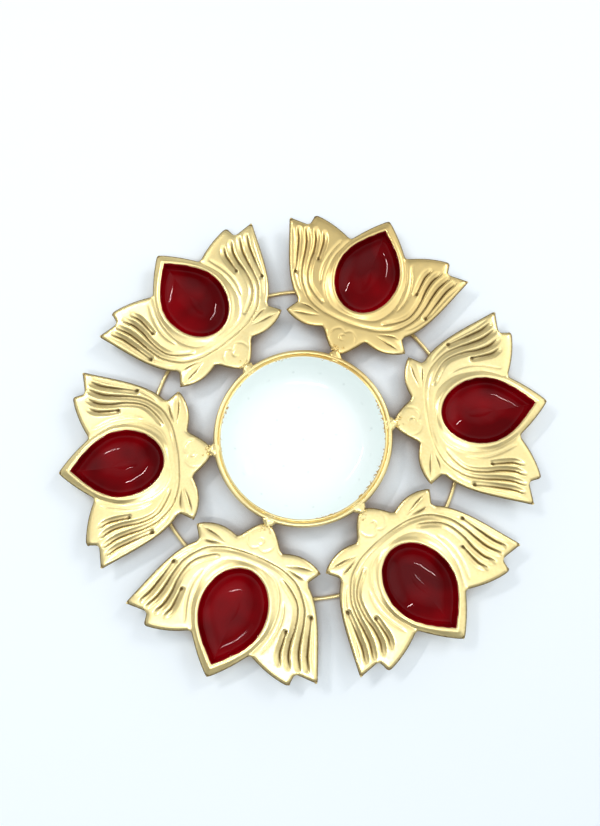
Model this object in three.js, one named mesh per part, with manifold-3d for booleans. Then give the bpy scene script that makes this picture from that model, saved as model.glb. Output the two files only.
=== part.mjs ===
// Urli with diyas: a shallow enamelled bowl for water and flowers, held in a wire ring, with six lotus
// plates welded round it. Each plate is pressed from sheet with a teardrop well for an oil lamp, and a thin
// wire ring under the wells carries them all.
// Millimetres, +Z up. The origin is on the resting surface under the bowl's centre, and +X runs along the
// first lotus. Everything is welded together, so nothing moves.
import * as THREE from "three";
import { mergeVertices } from "three/addons/utils/BufferGeometryUtils.js";
import Module from "manifold-3d";

const wasm = await Module();
wasm.setup();

// Whole object
const lotusCount = 6;
const seatGap = 0.3; // left between two pieces that touch
const sheet = 1; // steel sheet of the bowl and the plates
const enamel = 0.5; // fired lining of the bowl and the wells

// Urli bowl, pressed from sheet
const bowlRimRadius = 51.6;
const bowlFlatRadius = 28;
const bowlRimRise = 1.2; // rim over the middle of the ring wire
const bowlEnamelDrop = 0.8; // bare metal over the enamel's edge

// Wire rings
const ringWire = 3.5; // thick wire round the bowl
const footWire = 2.2; // thin wire under the wells
const footReach = 41; // from a plate's neck out to the foot ring's middle

// Welds
const weldSpan = 1.6; // from the ring wire to a plate's neck
const weldWidth = 6.4;
const weldHeight = 4.6;
const weldDepth = 5.4;
const footWeldLength = 8;
const footWeldWidth = 3.2;
const footWeldHeight = 3.4;

// Lotus plate: reach is measured outwards from the neck's end, side from the plate's centreline
const tipReach = 95.5;
const neckWidth = 3.5;
const shoulder = { reach: 13.8, side: 14 }; // notch between the base petal and the leaf
const leafTip = { reach: 15.6, side: 40.6 };
const leafNotch = { reach: 24.2, side: 34.8 }; // between the leaf and the wing
const wingCrest = { reach: 82.3, side: 46.3 }; // furthest corner of the wing's end
const wingTipDrop = 7.6; // how far the wing's outer tip stays behind the crest
const wingStepDrop = 8; // and the inner corner of the step beside that tip
const wingTip = { reach: wingCrest.reach - wingTipDrop, side: 61.7 };
const wingStep = { reach: wingCrest.reach - wingStepDrop, side: 47.3 };
const crownNotch = { reach: 74.3, side: 18.8 }; // between the wing and the plate's tip
const outlineSteps = 4;

// How far the curves of that outline are pulled away from its corners
const petalSwell = { reach: 1.2, side: 8 }; // base petal, from the neck
const leafBow = 6.5; // leaf, towards the bowl
const wingSwell = { reach: 8.8, side: 13.2 }; // wing's edge, from the leaf notch
const wingHollow = { reach: 18.7, side: 7.7 }; // wing's edge, from the wing tip
const crestBow = 0.8; // wing's end, towards the bowl
const crownBow = { reach: 1.6, side: 1 }; // edge of the pointed tip, outwards

// Teardrop well, to the face of its enamel at the mouth
const wellCentre = 55; // reach of its widest place
const wellHalfWidth = 19.6;
const wellRound = 24.75; // from the widest place to the round end
const wellPoint = 31.5; // from the widest place to the point
const wellDepth = 9.5; // from the plate's underside to the floor's underside
const wellWallRun = 7; // how far the wall curves in on its way down
const wellSteps = 6; // points along a quarter of the teardrop
const wallSteps = 3;
const lipWidth = 3.1;
const lipRise = 0.6;
const lipOuterSlope = 0.95;
const lipInnerSlope = 0.6;
const pointSpread = 1.35; // the point moves this much further than the sides when the teardrop is inset
const pointSide = { wide: 0.4, reach: 0.667, side: 0.587 }; // handles of its long sides, as shares of them

// Pressed flutes of a wing: share is the place between the well's lip, 0, and the wing's edge, 1
const fluteWidth = 2.2;
const fluteDepth = 0.55;
const flutes = [
  { share: 0.2, start: 4.8, length: 31 },
  { share: 0.33, start: 1, length: 19.5 },
  { share: 0.46, start: 1.3, length: 43 },
  { share: 0.77, start: 4, length: 28.5 },
  { share: 0.89, start: 6, length: 39.5 },
];
// The flute that runs on round the well's back, this far behind it
const collar = { share: 0.65, start: 3, length: 42, gap: 7.05, bend: { reach: 1.8, side: 20 } };
const fluteStep = 8; // about this far from point to point

// Heights that follow from the sizes above
const plateBase = footWire + seatGap + wellDepth;
const plateTop = plateBase + sheet;
const ringHeight = plateBase + sheet / 2;
const bowlRim = ringHeight + bowlRimRise;

// Radii that follow from the sizes above
const ringRadius = bowlRimRadius + seatGap + ringWire / 2;
const neckRadius = ringRadius + ringWire / 2 + weldSpan;
const footRadius = neckRadius + footReach;

const gold = new THREE.MeshStandardMaterial({ color: "#ddc07c", roughness: 0.45, metalness: 0.6 });
const weldGold = new THREE.MeshStandardMaterial({ color: "#cfae63", roughness: 0.6, metalness: 0.6 });
const redEnamel = new THREE.MeshStandardMaterial({ color: "#7e0a12", roughness: 0.08, metalness: 0 });
const whiteEnamel = new THREE.MeshStandardMaterial({ color: "#e8f6f1", roughness: 0.1, metalness: 0 });

// A closed geometry as a solid that can be joined and cut.
function solid(geometry) {
  const bare = geometry.clone().deleteAttribute("normal").deleteAttribute("uv");
  const merged = mergeVertices(bare, 1e-4);
  const triVerts = new Uint32Array(merged.index.array);
  const vertProperties = merged.attributes.position.array;
  return new wasm.Manifold(new wasm.Mesh({ numProp: 3, vertProperties, triVerts }));
}

// A solid as a geometry again, with flat faces.
function geometryOf(made) {
  const mesh = made.getMesh();
  const geometry = new THREE.BufferGeometry();
  geometry.setAttribute("position", new THREE.BufferAttribute(mesh.vertProperties, 3));
  geometry.setIndex(new THREE.BufferAttribute(mesh.triVerts, 1));
  const flat = geometry.toNonIndexed();
  flat.computeVertexNormals();
  return flat;
}

function meshOf(name, geometry, material) {
  const mesh = new THREE.Mesh(geometry, material);
  mesh.name = name;
  return mesh;
}

// Turned shape about Z from a profile of (radius, height) points.
function turned(profile, segments) {
  return new THREE.LatheGeometry(profile, segments).rotateX(Math.PI / 2);
}

// The points of a profile moved to its left, which on the bowl's outer curve is into the bowl.
function offset(profile, distance) {
  return profile.map((point, i) => {
    const before = profile[Math.max(i - 1, 0)];
    const after = profile[Math.min(i + 1, profile.length - 1)];
    const along = after.clone().sub(before).normalize();
    const side = i === 0 ? new THREE.Vector2(0, 1) : new THREE.Vector2(-along.y, along.x);
    return point.clone().addScaledVector(side, distance);
  });
}

// Outer curve of the bowl, from its centre to the rim, or up to a share of the wall.
function bowlCurve(share, steps = 5) {
  const wall = new THREE.QuadraticBezierCurve(
    new THREE.Vector2(bowlFlatRadius, 0),
    new THREE.Vector2((bowlFlatRadius + 2 * bowlRimRadius) / 3, 0),
    new THREE.Vector2(bowlRimRadius, bowlRim),
  );
  const points = [new THREE.Vector2(0, 0)];
  for (let i = 0; i <= steps; i++) points.push(wall.getPoint((share * i) / steps));
  return points;
}

function urliBowl() {
  const outer = bowlCurve(1);
  const inner = offset(outer, sheet);
  inner[inner.length - 1].y = bowlRim;
  return turned([...outer, ...inner.reverse()], 54);
}

function urliEnamel() {
  const metal = bowlCurve(1 - bowlEnamelDrop / bowlRim);
  const back = offset(metal, sheet + seatGap);
  const face = offset(metal, sheet + seatGap + enamel);
  return turned([...back, ...face.reverse()], 54);
}

// Ring of round wire whose section is a polygon with one flat side down, lying at a height.
function wireRing(radius, wire, height, sides = 8, segments = 60) {
  const corner = wire / 2 / Math.cos(Math.PI / sides);
  const section = [];
  for (let i = 0; i <= sides; i++) {
    const angle = (2 * Math.PI * (i + 0.5)) / sides;
    section.push(new THREE.Vector2(radius + corner * Math.cos(angle), height + corner * Math.sin(angle)));
  }
  return turned(section, segments);
}

// One side of the plate's outline, from the neck's end to the tip.
function outlineHalf() {
  const path = new THREE.Path();
  path.moveTo(0, neckWidth / 2);
  path.quadraticCurveTo(petalSwell.reach, petalSwell.side, shoulder.reach, shoulder.side);
  path.quadraticCurveTo(
    shoulder.reach - leafBow,
    (shoulder.side + leafTip.side) / 2,
    leafTip.reach,
    leafTip.side,
  );
  path.lineTo(leafNotch.reach, leafNotch.side);
  path.bezierCurveTo(
    leafNotch.reach + wingSwell.reach,
    leafNotch.side + wingSwell.side,
    wingTip.reach - wingHollow.reach,
    wingTip.side - wingHollow.side,
    wingTip.reach,
    wingTip.side,
  );
  path.lineTo(wingStep.reach, wingStep.side);
  path.lineTo(wingCrest.reach, wingCrest.side);
  path.quadraticCurveTo(
    wingCrest.reach - crestBow,
    (wingCrest.side + crownNotch.side) / 2,
    crownNotch.reach,
    crownNotch.side,
  );
  path.quadraticCurveTo(
    (crownNotch.reach + tipReach) / 2 + crownBow.reach,
    crownNotch.side / 2 + crownBow.side,
    tipReach,
    0,
  );
  return path.getPoints(outlineSteps);
}

// Outline of the teardrop, inset from the well's mouth, with its point towards the plate's tip.
function teardrop(inset) {
  const half = wellHalfWidth - inset;
  const round = wellRound - inset;
  const point = wellPoint - pointSpread * inset;
  const shape = new THREE.Shape();
  shape.moveTo(point, 0);
  const [x, y, wide] = [pointSide.reach * point, pointSide.side * half, pointSide.wide * point];
  shape.bezierCurveTo(x, y, wide, half, 0, half);
  shape.absellipse(0, 0, round, half, Math.PI / 2, (3 * Math.PI) / 2);
  shape.bezierCurveTo(wide, -half, x, -y, point, 0);
  const points = shape.getPoints(wellSteps);
  points.pop();
  return points.map((p) => new THREE.Vector2(p.x + wellCentre, p.y));
}

// Closed skin over stacked outlines of equal count, capped at both ends over the well's centre.
function loft(rings) {
  const count = rings[0].points.length;
  const position = [];
  for (const ring of rings) for (const p of ring.points) position.push(p.x, p.y, ring.z);
  position.push(wellCentre, 0, rings[0].z, wellCentre, 0, rings[rings.length - 1].z);
  const index = [];
  const lowest = rings.length * count;
  const last = (rings.length - 1) * count;
  for (let j = 0; j < count; j++) {
    const next = (j + 1) % count;
    for (let i = 0; i < rings.length - 1; i++) {
      const a = i * count + j;
      const b = i * count + next;
      index.push(a, b, b + count, a, b + count, a + count);
    }
    index.push(lowest, next, j, lowest + 1, last + j, last + next);
  }
  const geometry = new THREE.BufferGeometry();
  geometry.setAttribute("position", new THREE.Float32BufferAttribute(position, 3));
  geometry.setIndex(index);
  geometry.computeVertexNormals();
  return geometry;
}

// Outlines of a well's curved wall from its floor up to its mouth, where it stands upright.
function wallRings(inset, floor, mouth) {
  const rings = [];
  for (let i = wallSteps; i >= 0; i--) {
    const angle = ((Math.PI / 2) * i) / wallSteps;
    rings.push({
      points: teardrop(inset + wellWallRun * (1 - Math.cos(angle))),
      z: mouth - (mouth - floor) * Math.sin(angle),
    });
  }
  return rings;
}

// How far from the centreline an outline reaches at a given reach.
function sideAt(points, reach) {
  let side = 0;
  for (let i = 1; i < points.length; i++) {
    const [a, b] = [points[i - 1], points[i]];
    const share = (reach - a.x) / (b.x - a.x);
    if (share >= 0 && share <= 1) side = Math.max(side, a.y + share * (b.y - a.y));
  }
  return side;
}

// The course of a flute down one wing, at its share of the way from the lip to the wing's edge.
function fluteCourse(flute, half, lip) {
  const steps = Math.round(flute.length / fluteStep);
  const course = [];
  for (let i = 0; i <= steps; i++) {
    const reach = wingStep.reach - flute.start - (flute.length * i) / steps;
    const inner = sideAt(lip, reach);
    course.push([reach, inner + flute.share * (sideAt(half, reach) - inner)]);
  }
  return course;
}

// Groove of triangular section along a course, open at the plate's top face.
function groove(course) {
  const path = new THREE.CatmullRomCurve3(course.map(([x, y]) => new THREE.Vector3(x, y, plateTop)));
  const section = new THREE.Shape([
    new THREE.Vector2(-seatGap, -fluteWidth / 2),
    new THREE.Vector2(fluteDepth, 0),
    new THREE.Vector2(-seatGap, fluteWidth / 2),
  ]);
  const steps = course.length - 1;
  return solid(new THREE.ExtrudeGeometry(section, { steps, extrudePath: path, bevelEnabled: false }));
}

const mirrored = (course) => course.map(([x, y]) => [x, -y]);

// Flat sheet of the plate's outline, with a clearance over and under it.
function blank(clearance) {
  const half = outlineHalf();
  const across = half.map((p) => new THREE.Vector2(p.x, -p.y)).reverse();
  const outline = new THREE.Shape([...half, ...across.slice(1)]);
  const flat = new THREE.ExtrudeGeometry(outline, { depth: sheet + 2 * clearance, bevelEnabled: false });
  return solid(flat.translate(-clearance, 0, plateBase - clearance));
}

// Pressed plate with its well and flutes, in the lotus's own frame.
function lotusPlate() {
  const half = outlineHalf();
  let plate = blank(0);

  const mouth = -seatGap;
  const lipTop = plateTop + lipRise;
  const outside = [
    ...wallRings(mouth - sheet, footWire + seatGap, plateBase),
    { points: teardrop(mouth - lipWidth), z: plateBase },
    { points: teardrop(mouth - lipWidth), z: plateTop },
    { points: teardrop(mouth - lipWidth + lipOuterSlope), z: lipTop },
    { points: teardrop(mouth - lipInnerSlope), z: lipTop },
  ];
  const inside = [
    ...wallRings(mouth, footWire + seatGap + sheet, plateTop),
    { points: teardrop(mouth), z: lipTop + sheet },
  ];
  plate = plate.add(solid(loft(outside))).subtract(solid(loft(inside)));

  const lip = teardrop(mouth - lipWidth);
  for (const flute of flutes) {
    const course = fluteCourse(flute, half, lip);
    plate = plate.subtract(groove(course)).subtract(groove(mirrored(course)));
  }
  const wing = fluteCourse(collar, half, lip);
  const back = wellCentre - wellRound - collar.gap;
  const bend = [back + collar.bend.reach, collar.bend.side];
  return plate.subtract(groove([...wing, bend, [back, 0], ...mirrored([bend]), ...mirrored(wing).reverse()]));
}

// Fired lining of a well: a skin that follows its floor and wall up to just under the lip.
function wellEnamel() {
  const floor = footWire + seatGap + sheet + seatGap;
  const back = wallRings(0, floor, plateTop);
  const face = wallRings(enamel, floor + enamel, plateTop);
  return loft([...back, ...face.reverse()]);
}

// Lump of weld metal with the given size about its middle.
function lump(x, z, depth, width, height) {
  const ball = new THREE.SphereGeometry(0.5, 8, 6);
  return solid(ball.scale(depth, width, height).translate(x, 0, z));
}

// Block between two corners, as a cutting tool.
function block(low, high) {
  const size = high.map((value, i) => value - low[i]);
  const centre = high.map((value, i) => (value + low[i]) / 2);
  return solid(new THREE.BoxGeometry(...size).translate(...centre));
}

// Bead that joins a plate's neck to the wire ring, hollowed for both with the usual gap.
function tipWeld() {
  const bead = lump(-0.75 * weldSpan, ringHeight, weldDepth, weldWidth, weldHeight);
  const wire = solid(wireRing(ringRadius, ringWire + 2 * seatGap, ringHeight).translate(-neckRadius, 0, 0));
  return bead.subtract(wire).subtract(blank(seatGap));
}

// Bead that joins the foot ring's outer flank to a well's underside.
function footWeld() {
  const top = footWire;
  const middle = footReach + footWire / 2 + footWeldWidth / 4;
  const bead = lump(middle, top, footWeldWidth, footWeldLength, footWeldHeight);
  const wire = solid(wireRing(footRadius, footWire + 2 * seatGap, footWire / 2).translate(-neckRadius, 0, 0));
  const above = block([0, -footWeldLength, top], [footRadius, footWeldLength, top + footWeldHeight]);
  return bead.subtract(wire).subtract(above);
}

const urli = new THREE.Group();
urli.add(meshOf("urli_bowl", urliBowl(), gold));
urli.add(meshOf("urli_enamel", urliEnamel(), whiteEnamel));
urli.add(meshOf("centre_ring", wireRing(ringRadius, ringWire, ringHeight), gold));
urli.add(meshOf("foot_ring", wireRing(footRadius, footWire, footWire / 2), gold));

const plateShape = geometryOf(lotusPlate());
const liningShape = wellEnamel();
const tipWeldShape = geometryOf(tipWeld());
const footWeldShape = geometryOf(footWeld());
for (let i = 0; i < lotusCount; i++) {
  const spoke = new THREE.Group();
  spoke.rotation.z = (2 * Math.PI * i) / lotusCount;
  const lotus = new THREE.Group();
  lotus.position.x = neckRadius;
  lotus.add(meshOf(`lotus_plate_${i + 1}`, plateShape, gold));
  lotus.add(meshOf(`well_enamel_${i + 1}`, liningShape, redEnamel));
  lotus.add(meshOf(`tip_weld_${i + 1}`, tipWeldShape, weldGold));
  lotus.add(meshOf(`foot_weld_${i + 1}`, footWeldShape, weldGold));
  spoke.add(lotus);
  urli.add(spoke);
}

export default urli;
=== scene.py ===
# %% [markdown]
# # An urli with six diya wells
# This is a table ornament of welded steel. A shallow bowl for water and flowers sits in a ring of round
# wire, and six lotus plates are welded round it. Each plate is pressed from thin sheet and has a teardrop
# well for an oil lamp. The whole thing is sprayed pale gold, and the bowl and the wells are lined with
# glossy enamel.
#
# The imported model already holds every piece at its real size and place. This script reads those sizes and
# dresses the pieces: it presses the flutes into the sheet, lays the enamel, roughens the welds and paints.

# %% Load the frame
import math

import bmesh
import bpy
import numpy as np
from mathutils import Matrix, Vector
from mathutils.geometry import delaunay_2d_cdt


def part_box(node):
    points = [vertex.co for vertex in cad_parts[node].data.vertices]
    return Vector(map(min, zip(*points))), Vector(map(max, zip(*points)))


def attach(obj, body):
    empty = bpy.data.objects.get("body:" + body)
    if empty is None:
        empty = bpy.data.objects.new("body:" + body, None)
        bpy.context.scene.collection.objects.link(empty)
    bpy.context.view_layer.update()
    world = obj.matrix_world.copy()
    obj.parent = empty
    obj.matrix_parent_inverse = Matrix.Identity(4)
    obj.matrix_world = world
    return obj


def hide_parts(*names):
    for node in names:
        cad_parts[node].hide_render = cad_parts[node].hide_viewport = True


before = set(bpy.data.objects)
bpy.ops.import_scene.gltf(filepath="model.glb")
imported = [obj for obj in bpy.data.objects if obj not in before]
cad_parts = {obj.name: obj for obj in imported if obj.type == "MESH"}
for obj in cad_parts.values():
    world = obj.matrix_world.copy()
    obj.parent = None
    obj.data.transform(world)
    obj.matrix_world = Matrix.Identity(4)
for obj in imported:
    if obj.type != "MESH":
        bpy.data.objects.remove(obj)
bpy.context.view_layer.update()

MM = 0.001
LOTUSES = 6
print("the frame holds", len(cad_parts), "nodes")

# %% [markdown]
# The camera comes first, because everything is judged through it. The photograph was taken from above,
# a little from the near side and slightly turned. The place of the eye and the turn were worked out from
# the six lotus tips, which lie on a circle of known size. Both are kept as plain values.

# %% The camera
EYE = Vector((0, -71.6, 467.7)) * MM
LOOK = Vector((0.001, 0.187, -0.982)).normalized()
TURN = math.radians(-8.13)
SENSOR = 36
FOCAL = 32.6


def camera_at(eye, look, turn):
    """A camera that looks along a direction and is turned about it."""
    data = bpy.data.cameras.new("camera")
    data.sensor_width = SENSOR
    data.lens = FOCAL
    data.clip_start = 10 * MM
    camera = bpy.data.objects.new("camera", data)
    bpy.context.scene.collection.objects.link(camera)
    aim = look.to_track_quat("-Z", "Y").to_matrix().to_4x4()
    camera.matrix_world = Matrix.Translation(eye) @ aim @ Matrix.Rotation(turn, 4, "Z")
    return camera


bpy.context.scene.camera = camera_at(EYE, LOOK, TURN)
print("the eye is", round(EYE.length / MM), "mm from the middle of the bowl")

# %% [markdown]
# Node trees are long to write by hand. One small function adds a node of any kind, makes its settings and
# fills or links its sockets. In Blender a setting's name starts with a small letter and a socket's with a
# capital, so the function can tell them apart. The others find an output, and add the three kinds of node
# that come up most often.

# %% Helpers for node trees
def out(node, name=None):
    """An output of a node by its identifier or name, or else the first one in use."""
    if name is None:
        return next(socket for socket in node.outputs if socket.enabled)
    return next(socket for socket in node.outputs if name in (socket.identifier, socket.name))


def add(tree, kind, **values):
    """A new node with its settings made, and its sockets filled or linked from a node or an output."""
    node = tree.nodes.new(kind)
    for name, value in values.items():
        if name[0].islower():
            setattr(node, name, value)
            continue
        same_id = [socket for socket in node.inputs if socket.identifier == name]
        same_name = [socket for socket in node.inputs if socket.name == name.replace("_", " ")]
        socket = (same_id or same_name)[0]
        if isinstance(value, bpy.types.Node):
            value = out(value)
        if isinstance(value, bpy.types.NodeSocket):
            tree.links.new(value, socket)
        else:
            socket.default_value = value
    return node


def maths(tree, operation, a, b=0.0):
    """A Math node."""
    return add(tree, "ShaderNodeMath", operation=operation, Value=a, Value_001=b)


def vectors(tree, operation, a, b=(0, 0, 0)):
    """A Vector Math node."""
    return add(tree, "ShaderNodeVectorMath", operation=operation, Vector=a, Vector_001=b)


def spread(tree, value, low, high, to_low=0.0, to_high=1.0):
    """A Map Range node: a value taken from one range to another and kept inside it."""
    ranges = {"From_Min": low, "From_Max": high, "To_Min": to_low, "To_Max": to_high}
    return add(tree, "ShaderNodeMapRange", Value=value, **ranges)

# %% [markdown]
# Colours are picked from the object as sRGB hex values, the way a paint maker's chart gives them.
# Blender works in linear light, so one function turns them round. A finish is a base colour with others
# laid over it, each by its own share, and its patterns are noise whose size is given in metres.

# %% Colours
def rgb(code):
    """Linear RGBA from an sRGB hex value."""
    shares = [int(code[i : i + 2], 16) / 255 for i in (1, 3, 5)]
    linear = [c / 12.92 if c <= 0.04045 else ((c + 0.055) / 1.055) ** 2.4 for c in shares]
    return (*linear, 1.0)


def new_material(name):
    """An empty material and its tree."""
    material = bpy.data.materials.new(name)
    material.use_nodes = True
    material.node_tree.nodes.clear()
    return material, material.node_tree


def grain(tree, size, detail=2.0):
    """Noise whose patches are about size metres across, in object space."""
    place = out(add(tree, "ShaderNodeTexCoord"), "Object")
    return add(tree, "ShaderNodeTexNoise", Vector=place, Scale=0.5 / size, Detail=detail, Roughness=0.55)


def coats(tree, base, layers):
    """A base colour with others laid over it in turn, each by its own share."""
    body = rgb(base)
    for share, colour in layers:
        colours = {"A_Color": body, "B_Color": rgb(colour)}
        body = add(tree, "ShaderNodeMix", data_type="RGBA", Factor_Float=share, **colours)
    return body

# %% [markdown]
# ## Gold paint on pressed steel
# The gold is a satin metallic lacquer, sprayed over primed mild steel. Its flakes lie nearly flat, so it
# shines like metal, but with a broad, soft highlight and a pale, warm body. Close up the film has a faint
# orange peel and tiny specks. It is duller down in the pressed lines and has a few dark pinholes there,
# and those lines and the plate's outline are painted dark brown as shade; the `hollow` attribute of a
# pressed plate says where that is. One side of the ornament is painted a deeper gold, as shade. An
# image wrapped round six plates would show seams, so every pattern is noise in the object's own space.

# %% Gold lacquer
SPECK = 0.9 * MM
DRIFT = 22 * MM
PEEL = 1.2 * MM
PIT = 0.8 * MM
# One side of the ornament is painted a deeper gold, as shade.
SHADED_SIDE = (0.5, 0.866, 0)
SHADED_SIDE_GOLD = "#E2C27C"
PALE_GOLD = "#FDEAAE"
# Dark brown painted into the pressed lines as shade, and into the pinholes there.
PINHOLE_AND_SHADE_BROWN = "#503816"
FILM_ROUGHNESS = 0.3
NOISE_BAND = (0.35, 0.65)  # where most of a noise lies


def gold_lacquer(name, deep, peel):
    """Satin metallic lacquer, duller and painted dark brown as shade in the hollows that the mesh marks, and
    painted deeper as shade on one side.
    """
    material, tree = new_material(name)
    noise = grain(tree, SPECK, 3.0)
    hollow = out(add(tree, "ShaderNodeAttribute", attribute_name="hollow"), "Fac")
    place = out(add(tree, "ShaderNodeTexCoord"), "Object")
    way = vectors(tree, "NORMALIZE", place)
    lean = vectors(tree, "DOT_PRODUCT", way, SHADED_SIDE)
    pinholes = spread(tree, grain(tree, PIT, 1.0), 0.64, 0.72)
    layers = [
        (spread(tree, noise, *NOISE_BAND, 0.0, 0.4), deep),
        (spread(tree, grain(tree, DRIFT), *NOISE_BAND, 0.0, 0.3), deep),
        # Painted shade: one side of the ornament is painted a deeper gold.
        (spread(tree, lean, 0.78, 0.94, 0.0, 0.7), SHADED_SIDE_GOLD),
        # Painted shade: the pressed lines and the outline are painted dark brown, and the pinholes there
        # darker still.
        (spread(tree, hollow, 0.2, 0.9, 0.0, 0.9), PINHOLE_AND_SHADE_BROWN),
        (maths(tree, "MULTIPLY", pinholes, spread(tree, hollow, 0.3, 0.6, 0.0, 0.5)), PINHOLE_AND_SHADE_BROWN),
    ]
    satin = spread(tree, noise, *NOISE_BAND, FILM_ROUGHNESS, FILM_ROUGHNESS + 0.08)
    shader = add(
        tree,
        "ShaderNodeBsdfPrincipled",
        Base_Color=coats(tree, PALE_GOLD, layers),
        Metallic=1.0,
        Roughness=maths(tree, "ADD", satin, spread(tree, hollow, 0.2, 0.9, 0.0, 0.15)),
        Normal=add(tree, "ShaderNodeBump", Strength=0.6, Distance=peel, Height=grain(tree, PEEL, 3.0)),
    )
    add(tree, "ShaderNodeOutputMaterial", Surface=shader)
    return material


gold_paint = gold_lacquer("satin gold lacquer", "#EED289", 0.03 * MM)
bead_paint = gold_lacquer("gold lacquer on weld bead", "#E9CC82", 0.08 * MM)
print("paints:", gold_paint.name, "and", bead_paint.name)

# %% [markdown]
# ## Enamel
# The wells are lined with deep red enamel and the bowl with white that turns to pale mint towards the
# sloping wall. Enamel is glass fired onto metal, so its surface is smooth and hard, with small sharp
# highlights and slow ripples from when it flowed. The mirror is kept low, because a room is plain white
# light here and would lay a grey veil over the red.

# %% Enamels
RIPPLE = 9 * MM
RIPPLE_DEPTH = 0.6 * MM
RED_PATCH = 18 * MM
RIM_PATCH = 14 * MM
FLECK = 0.8 * MM
MINT_FROM = 20 * MM
MINT_TO = 46 * MM
SPRAY_FROM = 48.6 * MM
SPRAY_TO = 50.9 * MM


def glassy(name, body, roughness, mirror, gleam="#FFFFFF"):
    """Fired enamel with slow ripples. body makes its colour in the tree, and gleam tints its mirror."""
    material, tree = new_material(name)
    shader = add(
        tree,
        "ShaderNodeBsdfPrincipled",
        Base_Color=body(tree),
        Roughness=roughness,
        Specular_IOR_Level=mirror,
        Specular_Tint=rgb(gleam),
        Normal=add(tree, "ShaderNodeBump", Strength=0.8, Distance=RIPPLE_DEPTH, Height=grain(tree, RIPPLE)),
    )
    add(tree, "ShaderNodeOutputMaterial", Surface=shader)
    return material


def red_body(tree):
    """Deep red, a little darker in slow patches."""
    patches = spread(tree, grain(tree, RED_PATCH), 0.38, 0.62)
    return coats(tree, "#880009", [(patches, "#5A0004")])


def white_body(tree):
    """White, mint up the wall, painted grey as shade in the pressed dots, and flecked with gold where the
    ring was sprayed.
    """
    place = out(add(tree, "ShaderNodeTexCoord"), "Object")
    flat = vectors(tree, "MULTIPLY", place, (1, 1, 0))
    radius = vectors(tree, "LENGTH", flat)
    hollow = out(add(tree, "ShaderNodeAttribute", attribute_name="hollow"), "Fac")
    rim = spread(tree, radius, SPRAY_FROM, SPRAY_TO, 0.0, 0.42)
    patchy = spread(tree, grain(tree, RIM_PATCH, 1.0), 0.4, 0.62, -0.35, 0.12)
    spray = maths(tree, "ADD", grain(tree, FLECK), maths(tree, "ADD", patchy, rim))
    layers = [
        (spread(tree, radius, MINT_FROM, MINT_TO), "#F0FAF6"),
        # Painted shade: the pressed dots are painted grey.
        (spread(tree, hollow, 0.1, 1.0, 0.0, 0.4), "#C3CFCB"),
        (spread(tree, spray, 0.88, 0.94), "#C4A25A"),
    ]
    return coats(tree, "#FAFEFD", layers)


red_enamel = glassy("deep red enamel", red_body, 0.02, 0.15, "#FFE2E2")
white_enamel = glassy("white enamel", white_body, 0.1, 0.3)
print("enamels:", red_enamel.name, "and", white_enamel.name)

# %% [markdown]
# ## Finishing a mesh
# Geometry Nodes results are turned into plain meshes with `new_from_object` before they are used. Every
# piece then gets the same last steps: doubles merged, faces turned outwards, edges sharper than a given
# angle kept sharp, and a check that the skin is closed.

# %% Bake and finish
DOUBLES = 0.002 * MM  # points nearer than this become one


def object_of(name, mesh):
    """A mesh in the scene, at the origin."""
    piece = bpy.data.objects.new(name, mesh)
    bpy.context.scene.collection.objects.link(piece)
    return piece


def bake(piece):
    """The piece's modifiers made real, and then removed."""
    bpy.context.view_layer.update()
    graph = bpy.context.evaluated_depsgraph_get()
    baked = piece.evaluated_get(graph)
    mesh = bpy.data.meshes.new_from_object(baked, preserve_all_data_layers=True, depsgraph=graph)
    piece.modifiers.clear()
    old, piece.data = piece.data, mesh
    mesh.name = piece.name
    bpy.data.meshes.remove(old)


def finish(piece, material, nodes, sharp=40):
    """Cleans a piece, gives it its paint, and has it stand for its CAD nodes."""
    mesh = piece.data
    shape = bmesh.new()
    shape.from_mesh(mesh)
    bmesh.ops.remove_doubles(shape, verts=shape.verts, dist=DOUBLES)
    bmesh.ops.recalc_face_normals(shape, faces=shape.faces)
    if shape.calc_volume(signed=True) < 0:
        bmesh.ops.reverse_faces(shape, faces=shape.faces)
    open_edges = sum(not edge.is_manifold for edge in shape.edges)
    shape.to_mesh(mesh)
    volume = shape.calc_volume() / MM**3
    shape.free()
    mesh.polygons.foreach_set("use_smooth", [True] * len(mesh.polygons))
    mesh.set_sharp_from_angle(angle=math.radians(sharp))
    mesh.materials.clear()
    mesh.materials.append(material)
    mesh.calc_loop_triangles()
    print(piece.name, len(mesh.loop_triangles), "triangles,", open_edges, "open edges,", round(volume), "mm3")
    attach(piece, "root")
    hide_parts(*nodes)

# %% [markdown]
# A Geometry Nodes modifier keeps its inputs under socket identifiers, not under the names that people
# read. `run_tree` looks each name up in the tree's interface, so the rest of the script can use names.

# %% Run a Geometry Nodes tree
def new_tree(name, inputs):
    """A Geometry Nodes tree with a geometry going in and out and the named inputs."""
    tree = bpy.data.node_groups.new(name, "GeometryNodeTree")
    tree.interface.new_socket("Geometry", in_out="INPUT", socket_type="NodeSocketGeometry")
    for label, kind in inputs.items():
        tree.interface.new_socket(label, in_out="INPUT", socket_type="NodeSocket" + kind)
    tree.interface.new_socket("Geometry", in_out="OUTPUT", socket_type="NodeSocketGeometry")
    return tree, tree.nodes.new("NodeGroupInput")


def close_tree(tree, geometry, material):
    """The last nodes of every tree: real geometry, its material, and the output."""
    real = add(tree, "GeometryNodeRealizeInstances", Geometry=geometry)
    painted = add(tree, "GeometryNodeSetMaterial", Geometry=real, Material=material)
    add(tree, "NodeGroupOutput", Geometry=painted)


def run_tree(piece, tree, values):
    """Runs the tree on a piece with its inputs set, and makes the result real."""
    modifier = piece.modifiers.new(tree.name, "NODES")
    modifier.node_group = tree
    for item in tree.interface.items_tree:
        if item.in_out == "INPUT" and item.name in values:
            modifier[item.identifier] = values[item.name]
    bake(piece)

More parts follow.
